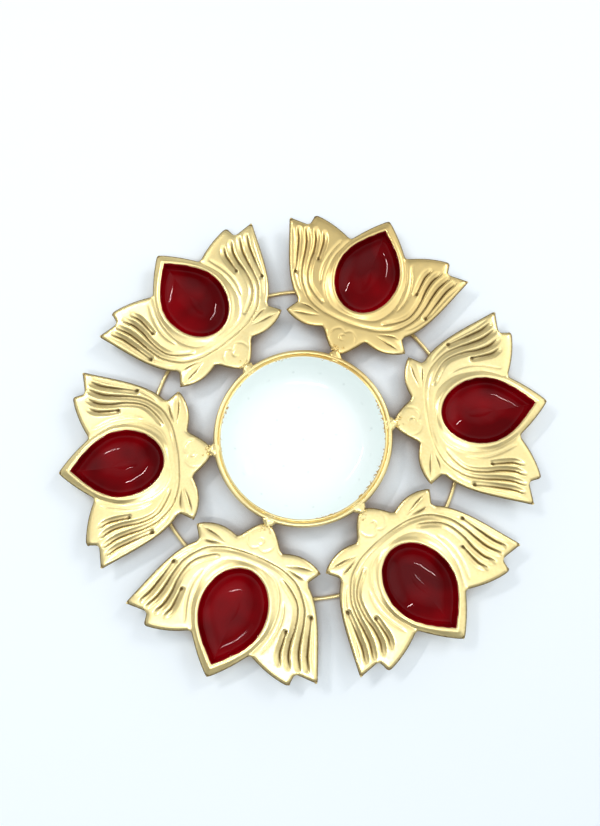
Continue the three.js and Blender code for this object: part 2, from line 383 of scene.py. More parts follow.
# %% [markdown]
# ## The two wire rings
# The bowl hangs in a ring of 3.5 mm round wire, and a thinner ring runs under the wells. Both are wire bent
# round a former and butt-welded, so they are round tubes along a circle that isn't quite true. A plain
# torus would look machined. So a tree sweeps a small circle along a large one, and a slow noise pushes
# the path about.

# %% Wire ring tree
RING_STEPS = 288
WIRE_SIDES = 20
WANDER_SCALE = 22.0  # waves of the noise in a metre

wire_inputs = dict.fromkeys(["Radius", "Wire", "Height", "Wander", "Seed"], "Float")
wire_tree, given = new_tree("wire ring", {**wire_inputs, "Material": "Material"})
path = add(
    wire_tree,
    "GeometryNodeCurvePrimitiveCircle",
    mode="RADIUS",
    Resolution=RING_STEPS,
    Radius=out(given, "Radius"),
)
noise = add(
    wire_tree,
    "ShaderNodeTexNoise",
    noise_dimensions="4D",
    Vector=add(wire_tree, "GeometryNodeInputPosition"),
    W=out(given, "Seed"),
    Scale=WANDER_SCALE,
)
centred = vectors(wire_tree, "SUBTRACT", out(noise, "Color"), (0.5, 0.5, 0.5))
pushed = add(wire_tree, "ShaderNodeVectorMath", operation="SCALE", Vector=centred, Scale=out(given, "Wander"))
lift = add(wire_tree, "ShaderNodeCombineXYZ", Z=out(given, "Height"))
offset = vectors(wire_tree, "ADD", pushed, lift)
moved = add(wire_tree, "GeometryNodeSetPosition", Geometry=path, Offset=offset)
half_wire = maths(wire_tree, "MULTIPLY", out(given, "Wire"), 0.5)
section = add(
    wire_tree,
    "GeometryNodeCurvePrimitiveCircle",
    mode="RADIUS",
    Resolution=WIRE_SIDES,
    Radius=half_wire,
)
tube = add(wire_tree, "GeometryNodeCurveToMesh", Curve=moved, Profile_Curve=section)
close_tree(wire_tree, tube, out(given, "Material"))

# %% Make the rings
def wire_ring(name, node, wander, seed):
    """A ring of round wire as large as its CAD node, a little out of true."""
    low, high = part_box(node)
    wire = high.z - low.z
    values = {
        "Radius": high.x - wire / 2 - wander / 4,
        "Wire": wire - wander / 2,  # so that it stays inside the CAD ring
        "Height": (high.z + low.z) / 2,
        "Wander": wander,
        "Seed": seed,
        "Material": gold_paint,
    }
    piece = object_of(name, bpy.data.meshes.new(name))
    run_tree(piece, wire_tree, values)
    finish(piece, gold_paint, [node])


wire_ring("bowl_ring", "centre_ring", 0.3 * MM, 3.0)
wire_ring("under_ring", "foot_ring", 0.2 * MM, 8.0)

# %% [markdown]
# ## The outline of a lotus plate
# A lotus plate is cut from sheet and pressed in a die. The outline below is drawn the way a die maker
# would draw it: corners joined by a few curves. Reach is measured outwards from the end of the neck that
# is welded to the ring, side is measured from the centreline, and both are in millimetres. The corners are
# then eased by averaging neighbours along the line, because the real tips are slightly rounded.

# %% Corners and curves of the outline
NECK = (0, 1.75)
SHOULDER = (13.8, 14)
LEAF_TIP = (15.6, 40.6)
LEAF_NOTCH = (24.2, 34.8)
WING_TIP = (74.7, 61.7)
WING_STEP = (74.3, 47.3)
WING_CREST = (82.3, 46.3)
CROWN_NOTCH = (74.3, 18.8)
CROWN_TIP = (95.5, 0)
CURVES = [
    (NECK, (2.7, 7.3), SHOULDER),
    (SHOULDER, (7.3, 27.3), LEAF_TIP),
    (LEAF_TIP, LEAF_NOTCH),
    (LEAF_NOTCH, (33, 48), (56, 54), WING_TIP),
    (WING_TIP, WING_STEP),
    (WING_STEP, WING_CREST),
    (WING_CREST, (81.5, 32.55), CROWN_NOTCH),
    (CROWN_NOTCH, (86.5, 10.4), CROWN_TIP),
]
OUTLINE_STEP = 0.3
EASING_ROUNDS = 36


def bezier(*handles, steps=40):
    """Points along a Bezier curve through its first and last handle."""
    t = np.linspace(0, 1, steps)[:, None]
    points = [np.array(h, float) + 0 * t for h in handles]
    while len(points) > 1:
        points = [a + (b - a) * t for a, b in zip(points, points[1:])]
    return points[0]


def even(points, spacing, closed=True):
    """The same line with its points evenly spaced."""
    line = np.vstack([points, points[:1]]) if closed else points
    run = np.concatenate([[0], np.cumsum(np.linalg.norm(np.diff(line, axis=0), axis=1))])
    count = max(round(run[-1] / spacing), 1)
    at = np.linspace(0, run[-1], count + 1)
    if closed:
        at = at[:-1]
    return np.stack([np.interp(at, run, line[:, i]) for i in range(line.shape[1])], 1)


def outline():
    """The plate's outline all the way round, with its corners eased as a cut edge's are."""
    half = np.vstack([bezier(*curve) for curve in CURVES])
    loop = even(np.vstack([half, half[::-1] * (1, -1)]), OUTLINE_STEP)
    for _ in range(EASING_ROUNDS):
        loop = (np.roll(loop, 1, 0) + loop + np.roll(loop, -1, 0)) / 3
    return loop


print("the outline is", round(len(outline()) * OUTLINE_STEP), "mm long")

# %% [markdown]
# ## The teardrop well
# Its mouth is an ellipse at the back and two long curves that meet in a point. Each point of the outline
# moves in a straight line when the teardrop shrinks, so one start and one direction for each point give
# every level of the wall, from the lip down to the floor.

# %% Teardrop
WELL_CENTRE = 55
WELL_HALF = 19.6
WELL_ROUND = 24.75
WELL_POINT = 31.5
POINT_SPREAD = 1.35
WELL_SIDE = [(1, 0), (0.667, 0.587), (0.4, 1), (0, 1)]  # the long curve, as shares of point and half
ARC_STEPS = 200
PITCH = 0.46  # size of the triangles where the die presses. Elsewhere they are twice as large.


def teardrop(inset):
    """Outline of the teardrop at an inset, as a dense closed line."""
    half = WELL_HALF - inset
    back = WELL_ROUND - inset
    point = WELL_POINT - POINT_SPREAD * inset
    side = bezier(*[(x * point, y * half) for x, y in WELL_SIDE], steps=ARC_STEPS)
    turn = np.linspace(math.pi / 2, math.pi, ARC_STEPS)
    round_end = np.stack([back * np.cos(turn), half * np.sin(turn)], 1)
    top = np.vstack([side, round_end[1:]])
    return np.vstack([top, top[-2:0:-1] * (1, -1)]) + (WELL_CENTRE, 0)


def mouth_lines():
    """Evenly spread points of the mouth, and how each moves for a millimetre of inset."""
    start = teardrop(0)
    move = teardrop(1) - start
    both = even(np.hstack([start, move]), PITCH)
    return both[:, :2], both[:, 2:]


MOUTH, SHRINK = mouth_lines()
print("the well's mouth has", len(MOUTH), "points")

# %% [markdown]
# The wall starts on the rounded lip, turns down through a small radius and runs to the floor in a quarter
# of an ellipse. The same profile serves twice: once for the metal, and once, moved off it by the coat's
# thickness, for the enamel, which grows thicker down the wall because it pooled there.

# %% Profile of the well
PLATE_TOP = 13.0
LIP_ROLL = 1.1
METAL_FLOOR = 3.5
WALL_RUN = 10.0
METAL_INSET = -0.3
LIP_STEPS = 6
WALL_STEPS = 20
FLOOR_RINGS = 8


def offset_line(line, distance):
    """A profile moved to its left, by one distance or by one for each point."""
    along = np.gradient(line, axis=0)
    along /= np.linalg.norm(along, axis=1)[:, None]
    return line + distance * np.stack([-along[:, 1], along[:, 0]], 1)


def well_profile(coat, wall_run=WALL_RUN, pool=0.0):
    """Inset and height of the wall, moved off the metal by a coat that grows by a pool at the foot."""
    roll = np.linspace(0, math.pi / 2, LIP_STEPS + 1)[:-1]
    lip = np.stack([-LIP_ROLL + LIP_ROLL * np.sin(roll), LIP_ROLL * np.cos(roll)], 1)
    drop = np.linspace(0, math.pi / 2, WALL_STEPS)
    deep = PLATE_TOP - LIP_ROLL - METAL_FLOOR
    wall = np.stack([wall_run * (1 - np.cos(drop)), -deep * np.sin(drop)], 1)
    line = np.vstack([lip, wall]) + (METAL_INSET, PLATE_TOP - LIP_ROLL)
    return offset_line(line, coat + pool * np.linspace(0, 1, len(line))[:, None] ** 3)


def rings_of(profile):
    """Points of the teardrop at each step of a profile, then floor rings shrinking to the centre."""
    rows = [np.column_stack([MOUTH + SHRINK * inset, np.full(len(MOUTH), z)]) for inset, z in profile]
    floor = rows[-1]
    middle = np.array([WELL_CENTRE, 0, floor[0, 2]])
    for share in np.linspace(1, 0, FLOOR_RINGS + 2)[1:-1]:
        rows.append(middle + (floor - middle) * share)
    return rows, middle


def skin(rows, first=0):
    """Quads between rows of equal count, as vertex numbers from first."""
    count = len(rows[0])
    step = np.arange(count)
    after = (step + 1) % count
    quads = []
    for i in range(len(rows) - 1):
        a = first + i * count
        quads += np.stack([a + step, a + after, a + count + after, a + count + step], 1).tolist()
    return quads


print("the well is", PLATE_TOP - METAL_FLOOR, "mm deep to the metal")

# %% [markdown]
# ## The blank
# The die presses a flat blank. The blank needs small, even triangles, or the pressed lines would come out
# jagged, so it is filled with a lattice of equal triangles, and a Delaunay triangulation ties the lattice
# to the outline and to the mouth of the well.

# %% Fill the blank with even triangles
BUSY_REACH = 2.3
EDGE_CLEARANCE = 0.55 * PITCH
SEAM_GAP = 0.01 * MM
BATCH = 2000  # points at a time, so that the tables of distances stay small


def inside(points, loop):
    """Which points lie inside a closed line, by counting crossings."""
    ax, ay = loop.T
    bx, by = np.roll(loop, -1, 0).T
    result = np.zeros(len(points), bool)
    for start in range(0, len(points), BATCH):
        x, y = points[start : start + BATCH, :1], points[start : start + BATCH, 1:]
        spans = (ay > y) != (by > y)
        with np.errstate(divide="ignore", invalid="ignore"):
            cross = x < (bx - ax) * (y - ay) / (by - ay) + ax
        result[start : start + BATCH] = (spans & cross).sum(1) % 2 == 1
    return result


def clear_of(points, loop, gap):
    """Which points keep a gap to the points of a line."""
    result = np.ones(len(points), bool)
    for start in range(0, len(points), BATCH):
        part = points[start : start + BATCH]
        away = ((part[:, None, :] - loop[None]) ** 2).sum(2).min(1)
        result[start : start + BATCH] = away > gap * gap
    return result


def lattice_points(edge, mouth, busy):
    """Points of a triangle lattice between the edge and the mouth, sparser away from busy points."""
    low, high = edge.min(0), edge.max(0)
    points, coarse_too = [], []
    for i, x in enumerate(np.arange(low[0], high[0], PITCH * math.sqrt(3) / 2)):
        for j, y in enumerate(np.arange(low[1], high[1], PITCH)):
            points.append((x, y + (i % 2) * PITCH / 2))
            coarse_too.append(i % 2 == 0 and (j + i // 2) % 2 == 0)
    points, coarse_too = np.array(points), np.array(coarse_too)
    keep = inside(points, edge) & ~inside(points, mouth)
    points, coarse_too = points[keep], coarse_too[keep]
    points = points[coarse_too | ~clear_of(points, busy, BUSY_REACH)]
    return points[clear_of(points, edge, EDGE_CLEARANCE) & clear_of(points, mouth, EDGE_CLEARANCE)]


def blank_mesh(busy):
    """The unpressed plate with its drawn well, as one open skin, with small triangles near busy points."""
    edge = even(outline(), PITCH)
    mouth = MOUTH + SHRINK * (METAL_INSET - LIP_ROLL)
    points = np.vstack([edge, mouth, lattice_points(edge, mouth, busy)])
    loops = [(i, (i + 1) % len(edge)) for i in range(len(edge))]
    loops += [(len(edge) + i, len(edge) + (i + 1) % len(mouth)) for i in range(len(mouth))]
    flat, _, faces, *_ = delaunay_2d_cdt([Vector(p) for p in points], loops, [], 1, 1e-5)
    flat = np.array([(*p, 0) for p in flat])
    faces = np.array(faces)
    faces = faces[~inside(flat[faces].mean(1)[:, :2], mouth)]
    flat[:, 2] = PLATE_TOP
    rings, middle = rings_of(well_profile(0))
    wall = np.vstack(rings)
    quads = skin(rings, len(flat))
    last = len(flat) + len(wall) - len(MOUTH)
    centre = len(flat) + len(wall)
    fan = [(last + i, last + (i + 1) % len(MOUTH), centre) for i in range(len(MOUTH))]
    mesh = bpy.data.meshes.new("blank")
    mesh.from_pydata(np.vstack([flat, wall, middle[None]]) * MM, [], faces.tolist() + quads + fan)
    shape = bmesh.new()
    shape.from_mesh(mesh)
    bmesh.ops.remove_doubles(shape, verts=shape.verts, dist=SEAM_GAP)
    bmesh.ops.recalc_face_normals(shape, faces=shape.faces)
    if sum(face.normal.z * face.calc_area() for face in shape.faces) < 0:
        bmesh.ops.reverse_faces(shape, faces=shape.faces)
    shape.to_mesh(mesh)
    shape.free()
    return mesh


print("a point of the lattice stands for", round(PITCH**2 * math.sqrt(3) / 2, 2), "mm2 of sheet")

# %% [markdown]
# ## Pressing lines into the sheet
# Everything on the plate that isn't flat is a line of the die: flutes, creases, veins, the lip and the
# rolled edge. So one tree does it all. It takes a set of curves, measures how far every point of the blank
# lies from the nearest of them, seen flat, and lowers it by a bell-shaped amount. The radius of a curve
# point says how hard the die presses there, so a flute can fade out. The tree also adds what it pressed to
# the `hollow` attribute, which the paint reads.

# %% Press tree
LINE_POINTS = 120

press_tree, given = new_tree(
    "press lines",
    {"Lines": "Object", "Depth": "Float", "Width": "Float", "Mark": "Float", "Material": "Material"},
)
lines = add(press_tree, "GeometryNodeObjectInfo", Object=out(given, "Lines"))
drawn = out(lines, "Geometry")
smooth = add(press_tree, "GeometryNodeCurveSplineType", spline_type="CATMULL_ROM", Curve=drawn)
fine = add(press_tree, "GeometryNodeResampleCurve", Curve=smooth, Count=LINE_POINTS)
marked = add(
    press_tree,
    "GeometryNodeStoreNamedAttribute",
    data_type="FLOAT",
    domain="POINT",
    Geometry=fine,
    Name="force",
    Value=add(press_tree, "GeometryNodeInputRadius"),
)
wires = add(press_tree, "GeometryNodeCurveToMesh", Curve=marked)
flat_place = add(press_tree, "GeometryNodeInputNamedAttribute", data_type="FLOAT_VECTOR", Name="flat")
seen_flat = {"Geometry": wires, "Sample_Position": flat_place}
near = add(press_tree, "GeometryNodeProximity", target_element="EDGES", **seen_flat)
force = add(
    press_tree,
    "GeometryNodeSampleIndex",
    data_type="FLOAT",
    domain="POINT",
    Geometry=wires,
    Value=add(press_tree, "GeometryNodeInputNamedAttribute", data_type="FLOAT", Name="force"),
    Index=add(press_tree, "GeometryNodeSampleNearest", domain="POINT", **seen_flat),
)
narrowed = spread(press_tree, force, 0.0, 1.0, 0.5, 1.0)
reach = maths(press_tree, "MULTIPLY", out(given, "Width"), narrowed)
share = maths(press_tree, "DIVIDE", out(near, "Distance"), reach)
fall = maths(press_tree, "MULTIPLY", maths(press_tree, "POWER", share, 2.0), -1.0)
felt = maths(press_tree, "MULTIPLY", maths(press_tree, "EXPONENT", fall), force)
sunk = maths(press_tree, "MULTIPLY", felt, out(given, "Depth"))
down = add(press_tree, "ShaderNodeCombineXYZ", Z=maths(press_tree, "MULTIPLY", sunk, -1.0))
lowered = add(press_tree, "GeometryNodeSetPosition", Geometry=out(given, "Geometry"), Offset=down)
# Each line's mark adds to the hollow attribute: how much painted shade the paint lays there.
before = add(press_tree, "GeometryNodeInputNamedAttribute", data_type="FLOAT", Name="hollow")
left = maths(press_tree, "MULTIPLY", felt, out(given, "Mark"))
noted = add(
    press_tree,
    "GeometryNodeStoreNamedAttribute",
    data_type="FLOAT",
    domain="POINT",
    Geometry=lowered,
    Name="hollow",
    Value=maths(press_tree, "ADD", before, left),
)
close_tree(press_tree, noted, out(given, "Material"))

# %% Draw lines for the press
def die_lines(lines, closed):
    """Curves for the press. Each point is reach, side and force, in millimetres."""
    curve = bpy.data.curves.new("die", "CURVE")
    curve.dimensions = "3D"
    for points in lines:
        spline = curve.splines.new("POLY")
        spline.points.add(len(points) - 1)
        spline.use_cyclic_u = closed
        for knot, (reach_here, side, force_here) in zip(spline.points, points):
            knot.co = (reach_here * MM, side * MM, 0, 1)
            knot.radius = force_here
    drawn = bpy.data.objects.new("die", curve)
    bpy.context.scene.collection.objects.link(drawn)
    return drawn


def remember_flat(mesh):
    """Keeps each point's unpressed place, seen from above, and starts with nothing hollow."""
    places = np.zeros(len(mesh.vertices) * 3, np.float32)
    mesh.vertices.foreach_get("co", places)
    places = places.reshape(-1, 3)
    places[:, 2] = 0
    mesh.attributes.new("flat", "FLOAT_VECTOR", "POINT").data.foreach_set("vector", places.ravel())
    mesh.attributes.new("hollow", "FLOAT", "POINT")


def press(piece, lines, depth, width, shade_mark=0.0, closed=False, material=gold_paint):
    """Presses lines into a piece: depth down, or up if negative, and width to where the bell fades."""
    drawn = die_lines(lines, closed)
    values = {
        "Lines": drawn,
        "Depth": depth * MM,
        "Width": width * MM,
        "Mark": shade_mark,
        "Material": material,
    }
    run_tree(piece, press_tree, values)
    bpy.data.objects.remove(drawn)

# %% [markdown]
# ## The lines of the lotus die
# The wings carry long flutes that start near the wing's end, run down beside the well and turn in under
# it. The longest runs on round the well's back into the other wing, and the first and the last stop short
# in a dimple. A soft line follows the wing's rim, and another the well. A leaf has a raised vein between
# two strokes, and the petal a scallop and a small ring that reads as a swirl. All this could be sculpted,
# but a line with a force at each point is easier to correct. The lines are drawn for one wing, and the
# other is its mirror image.

# %% Flutes, creases and veins
# From the outermost flute inwards. Each point is reach, side and force.
RIM_FLUTE = [
    (69, 57, 0), (66, 55.4, 0.5), (59, 52, 0.8), (51, 49, 0.8),
    (43, 46, 0.8), (37, 42, 0.7), (32, 38, 0.5), (29, 34, 0),
]
FIRST_FLUTE = [
    (72, 52.4, 0), (69.5, 51.3, 0.8), (64, 48.5, 1.15),
    (56, 46, 1.1), (49, 44, 0.85), (42, 42.2, 0.8),
]
LONG_FLUTE = [
    (73.5, 47.8, 0), (71, 46.4, 0.8), (64, 43, 1.2), (56, 41, 1.1),
    (48, 39.5, 0.9), (40, 37, 0.8), (34, 33, 0.75), (29, 28, 0.7),
    (26, 22, 0.65), (24, 15, 0.5), (23.3, 7, 0.4), (23.2, 0, 0.35),
]
THIRD_FLUTE = [
    (75, 42, 0), (72, 40.3, 0.8), (67, 37.7, 1.2), (59, 36, 1.1), (51, 35.6, 0.9),
    (43, 34, 0.85), (38, 31.5, 0.8), (34, 27, 0.75), (30.5, 21.5, 0.6), (29, 18.5, 0),
]
LAST_FLUTE = [(75, 36, 0), (72, 34.3, 0.8), (67.5, 32.5, 1.1), (61, 31.8, 1), (54.5, 31.4, 0.8)]
FLUTES = [FIRST_FLUTE, LONG_FLUTE, THIRD_FLUTE, LAST_FLUTE]
WELL_FLUTE = [
    (72, 24.4, 0), (69, 25, 0.6), (62, 27.3, 0.9), (54, 28.8, 0.8),
    (47, 28.5, 0.7), (42, 27, 0.6), (38.5, 25.8, 0),
]
BORDER = [
    (72.5, 19.2, 0.8), (65, 22.5, 1.1), (60, 24.3, 1.1), (55, 25, 0.9), (48, 25, 0.8), (43, 24.3, 0.8),
    (38, 22.6, 0.8), (33, 19.6, 0.7), (29, 15.5, 0.6), (26.6, 9, 0.5), (26, 0, 0.5),
]
BACK_ARC = [(23.4, 17, 0), (22.6, 13.5, 0.6), (21.3, 8, 0.9), (20.7, 0, 1)]
LEAF_STROKES = [
    [(22.6, 33, 0.2), (22.8, 30, 1), (22.2, 26, 1), (20.9, 20.5, 0.3)],
    [(15.9, 35.5, 0.2), (16.6, 32, 1), (17.4, 27, 1), (19.2, 20, 0.3)],
]
LEAF_VEIN = [(18.6, 36, 0), (19.6, 31, 1), (20, 26, 1), (20.4, 19, 0)]
PETAL_SCALLOP = [(7.6, 8.4, 0), (10.5, 8.6, 0.8), (14, 7.4, 1), (16.3, 4.4, 1), (16, 1.8, 1), (14.8, 0, 1)]
EYE_REACH = 11.2
EYE_RADIUS = 1.9
EYE_POINTS = 16


def both_sides(lines):
    """The lines and their mirror images, joined into one where they meet the centreline."""
    result = []
    for line in lines:
        mirrored = [(reach_here, -side, force_here) for reach_here, side, force_here in line]
        if line[-1][1] == 0:
            result.append(line + mirrored[-2::-1])
        else:
            result += [line, mirrored]
    return result


def beside(line, gap):
    """A line beside another one, on the well's side."""
    points = np.array(line)
    moved_line = offset_line(points[:, :2], -gap)
    return [(x, y, f) for (x, y), f in zip(moved_line, points[:, 2])]


def petal_eye():
    """A small ring on the petal, pressed deeper on one side."""
    turn = np.linspace(0, math.tau, EYE_POINTS, endpoint=False)
    x, y = EYE_REACH + EYE_RADIUS * np.cos(turn), EYE_RADIUS * np.sin(turn)
    return np.stack([x, y, 0.5 + 0.5 * np.sin(turn)], 1).tolist()


print(len(FLUTES), "flutes a wing")

# %% [markdown]
# Now the press. The lip round the well is a line pressed upwards, and the rolled edge is the outline
# itself pressed down twice, so that the plate's border falls away like a hem. A flute has a shoulder, then
# a slope that goes down towards the well, and a sharp crease at its foot, and the rounded ridge between
# two flutes is what the press leaves standing.

# %% Press the lotus
LIP_OUTSET = 2.1  # from the well's mouth out to the crest of its lip
LIP_RISE = 0.8
LIP_WIDTH = 1.75
LIP_SPACING = 2.0
EDGE_SPACING = 1.0
BUSY_SPACING = 0.8
DIMPLE_LENGTH = 0.3
SHOULDER_GAP = 1.15  # from a flute's shoulder to the middle of its slope
CREASE_GAP = 2.2  # and to the crease at its foot


def press_lip(piece, material):
    """The rounded lip, which the metal and its enamel share."""
    crest = [(x, y, 1.0) for x, y in even(MOUTH - SHRINK * LIP_OUTSET, LIP_SPACING)]
    press(piece, [crest], -LIP_RISE, LIP_WIDTH, closed=True, material=material)


shoulders = both_sides(FLUTES)
slopes = both_sides([beside(line, SHOULDER_GAP) for line in FLUTES])
creases = both_sides([beside(line, CREASE_GAP) for line in FLUTES])
single = both_sides([RIM_FLUTE, WELL_FLUTE])
border = both_sides([BORDER])
strokes = both_sides(LEAF_STROKES)
scallops = both_sides([PETAL_SCALLOP])
ends = [beside(line, CREASE_GAP)[-1] for line in (FIRST_FLUTE, LAST_FLUTE)]
dimples = both_sides([[(x, y, 1.0), (x + DIMPLE_LENGTH, y, 1.0)] for x, y, _ in ends])
edge_line = [(x, y, 1.0) for x, y in even(outline(), EDGE_SPACING)]
drawn_finely = slopes + single + scallops + [petal_eye()] + strokes + border
busy = np.vstack([even(np.array(line)[:, :2], BUSY_SPACING, closed=False) for line in drawn_finely])
blank = object_of("blank", blank_mesh(busy))
print("the blank has", len(blank.data.polygons), "faces")
remember_flat(blank.data)
press_lip(blank, gold_paint)

# Each row is lines, depth and width in millimetres, how much painted shade they leave in the paint, and
# whether they close.
PRESSINGS = [
    ([edge_line], 0.75, 0.8, 1.0, True),
    ([edge_line], 0.35, 2.4, 0.0, True),
    (slopes, 0.92, 1.3, 0.28, False),
    (creases, 0.6, 0.7, 0.8, False),
    (shoulders, 0.08, 0.45, 0.12, False),
    (single, 0.4, 1.3, 0.15, False),
    (single, 0.16, 0.5, 0.3, False),
    (border, 0.4, 1.6, 0.1, False),
    (border, 0.16, 0.5, 0.35, False),
    (both_sides([BACK_ARC]), 0.28, 1.0, 0.15, False),
    (strokes, 0.42, 0.55, 0.9, False),
    (both_sides([LEAF_VEIN]), -0.3, 1.6, 0.0, False),
    (scallops, 0.18, 0.8, 0.12, False),
    ([petal_eye()], 0.26, 0.65, 0.4, True),
    (dimples, 0.3, 0.9, 0.9, False),
]
for lines_here, depth, width, shade_mark, closed in PRESSINGS:
    press(blank, lines_here, depth, width, shade_mark, closed)
print("pressed", len(blank.data.vertices), "points")

# %% [markdown]
# ## Six plates
# The six plates come from one die, but each was handled, welded and painted by itself, so each is bent by
# a few tenths of a millimetre in its own way. A tree adds a slow noise with a seed for each lotus. The
# enamel of a well gets the same bend as its plate, or the two would part.

# %% Bend tree
BEND_SCALE = 20.0  # waves of the noise in a metre

bend_tree, given = new_tree("hand bend", {"Amount": "Float", "Seed": "Float", "Material": "Material"})
slow = add(
    bend_tree,
    "ShaderNodeTexNoise",
    noise_dimensions="4D",
    Vector=add(bend_tree, "GeometryNodeInputNamedAttribute", data_type="FLOAT_VECTOR", Name="flat"),
    W=out(given, "Seed"),
    Scale=BEND_SCALE,
    Detail=1.0,
)
centred = maths(bend_tree, "SUBTRACT", slow, 0.5)
rise = maths(bend_tree, "MULTIPLY", centred, out(given, "Amount"))
shift = add(bend_tree, "ShaderNodeCombineXYZ", Z=rise)
bent = add(bend_tree, "GeometryNodeSetPosition", Geometry=out(given, "Geometry"), Offset=shift)
close_tree(bend_tree, bent, out(given, "Material"))

# %% Make the plates
SHEET = 1.0
BEND = 1.0
FIRST_SEED = 2.7
SEED_STEP = 3.1
NECK_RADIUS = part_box("lotus_plate_1")[0].x


def place_of(lotus):
    """From a lotus's own frame, with reach along X from its neck, to its place round the bowl."""
    turn = Matrix.Rotation(math.tau * lotus / LOTUSES, 4, "Z")
    return turn @ Matrix.Translation((NECK_RADIUS, 0, 0))


def seated(piece, lotus):
    """Bends a piece as its lotus is bent and moves it to its place in its mesh."""
    seed = FIRST_SEED + SEED_STEP * lotus
    run_tree(piece, bend_tree, {"Amount": BEND * MM, "Seed": seed, "Material": piece.data.materials[0]})
    piece.data.attributes.remove(piece.data.attributes["flat"])
    piece.data.transform(place_of(lotus))


for lotus in range(LOTUSES):
    plate = object_of(f"pressed_lotus_{lotus + 1}", blank.data.copy())
    seated(plate, lotus)
    wall = plate.modifiers.new("sheet", "SOLIDIFY")
    wall.thickness = SHEET * MM
    wall.offset = -1
    bake(plate)
    finish(plate, gold_paint, [f"lotus_plate_{lotus + 1}"], sharp=55)
bpy.data.objects.remove(blank)

# %% [markdown]
# ## Red lining of the wells
# The enamel is poured thin and runs up to the lip, where surface tension leaves an edge that wanders a
# little. It pooled in the corner between wall and floor, so its face is a shallow dish. It is the well's
# own profile moved off the metal by the coat's thickness, closed with a back just above the metal.

# %% Lay the red enamel
COAT = 0.45
BACK_GAP = 0.03
POOL_RUN = 17.5  # the enamel's wall runs further in than the metal's
POOL = 0.3  # how much thicker the enamel is in the corner
EDGE_START = 2  # the step of the profile where the enamel begins
EDGE_STEPS = 14
EDGE_WANDER = 1.225  # in steps of the profile, as the next one
EDGE_ROUNDING = 0.7
LINING_RINGS = 11
WANDER_SEED = 40
WANDER_WAVES = range(2, 30)


def slow_wander(count, amount, seed):
    """A smooth closed line of random heights round a well."""
    random = np.random.default_rng(seed)
    turn = np.linspace(0, math.tau, count, endpoint=False)
    line = np.zeros(count)
    for wave in WANDER_WAVES:
        line += random.normal() / wave**0.6 * np.cos(wave * turn + random.uniform(0, math.tau))
    return amount * line / np.abs(line).max()


def lining_side(profile, wander, rounding, dip):
    """Rings of one side of the enamel, from its wandering edge to the middle of its floor."""
    steps = np.arange(len(profile))
    rows = []
    for step, at in enumerate(np.linspace(EDGE_START, steps[-1], EDGE_STEPS + len(profile))):
        fade = max(0.0, 1 - step / EDGE_STEPS)
        here = np.clip(at + wander * fade + rounding * fade**6, 0, steps[-1])
        inset = np.interp(here, steps, profile[:, 0])[:, None]
        rows.append(np.column_stack([MOUTH + SHRINK * inset, np.interp(here, steps, profile[:, 1])]))
    floor = rows[-1]
    middle = np.array([WELL_CENTRE, 0, floor[0, 2]])
    for share_left in np.linspace(1, 0, LINING_RINGS + 1)[1:]:
        ring = middle + (floor - middle) * share_left
        rows.append(ring - (0, 0, dip * (1 - share_left**2)))
    return rows


def lining_mesh(seed):
    """A closed skin of enamel: its back on the metal, its rounded edge and its face."""
    wander = slow_wander(len(MOUTH), EDGE_WANDER, seed)
    face = lining_side(well_profile(COAT, POOL_RUN, POOL), wander, EDGE_ROUNDING, POOL)
    back = lining_side(well_profile(BACK_GAP), wander, 0.0, 0.0)
    chain = back[::-1] + face
    mesh = bpy.data.meshes.new("lining")
    mesh.from_pydata(np.vstack(chain) * MM, [], skin(chain))
    return mesh


for lotus in range(LOTUSES):
    lining = object_of(f"red_lining_{lotus + 1}", lining_mesh(WANDER_SEED + lotus))
    lining.data.materials.append(red_enamel)
    remember_flat(lining.data)
    press_lip(lining, red_enamel)
    seated(lining, lotus)
    finish(lining, red_enamel, [f"well_enamel_{lotus + 1}"], sharp=60)

# %% [markdown]
# ## The bowl and its lining
# The bowl is spun or pressed from sheet: a flat bottom, a wall that curves up and a rounded rim, with a
# small fillet of weld and paint that closes the seam to the ring. It is a shape of revolution, so a profile
# turned about the axis gives it exactly.

# %% Turned shapes
BOWL_FLAT = 28.0
BOWL_SHEET = 1.0
BOWL_TURNS = 200
FLAT_STEPS = 24
CURVE_STEPS = 60
SEAM_FILLET = np.array([(-0.45, -1.6), (0.55, -1.1), (0.65, -0.6), (0.35, -0.25)])  # from the outer rim
SEAM_STEPS = 6  # points of the outside that the fillet covers
RIM_TURN = (0.6, 1.2, 1.9, 2.5)
RIM_FLATTENING = 0.6


def turned(name, profile):
    """A closed skin from a closed profile of radius and height that starts and ends on the axis."""
    turn = np.linspace(0, math.tau, BOWL_TURNS, endpoint=False)
    rows = [np.column_stack([r * np.cos(turn), r * np.sin(turn), np.full(BOWL_TURNS, z)]) for r, z in profile]
    mesh = bpy.data.meshes.new(name)
    mesh.from_pydata(np.vstack(rows) * MM, [], skin(rows))
    return object_of(name, mesh)


def bowl_curve():
    """Outside of the bowl from the axis to its rim."""
    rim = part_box("urli_bowl")[1] / MM
    wall = bezier((BOWL_FLAT, 0), ((BOWL_FLAT + 2 * rim.x) / 3, 0), (rim.x, rim.z), steps=CURVE_STEPS)
    floor = np.column_stack([np.linspace(0, BOWL_FLAT, FLAT_STEPS)[:-1], np.zeros(FLAT_STEPS - 1)])
    return np.vstack([floor, wall])


def lifted(line, distance):
    """A profile moved up into the bowl, and still starting on the axis."""
    moved_line = offset_line(line, distance)
    moved_line[:, 0] = np.maximum(moved_line[:, 0], 0)
    moved_line[0, 0] = 0
    return moved_line


def rounded_rim(outer, inner):
    """Points over the rim from outside to inside."""
    middle = (outer + inner) / 2
    arc = [(math.cos(a), RIM_FLATTENING * math.sin(a) - RIM_FLATTENING) for a in RIM_TURN]
    return middle + BOWL_SHEET / 2 * np.array(arc)


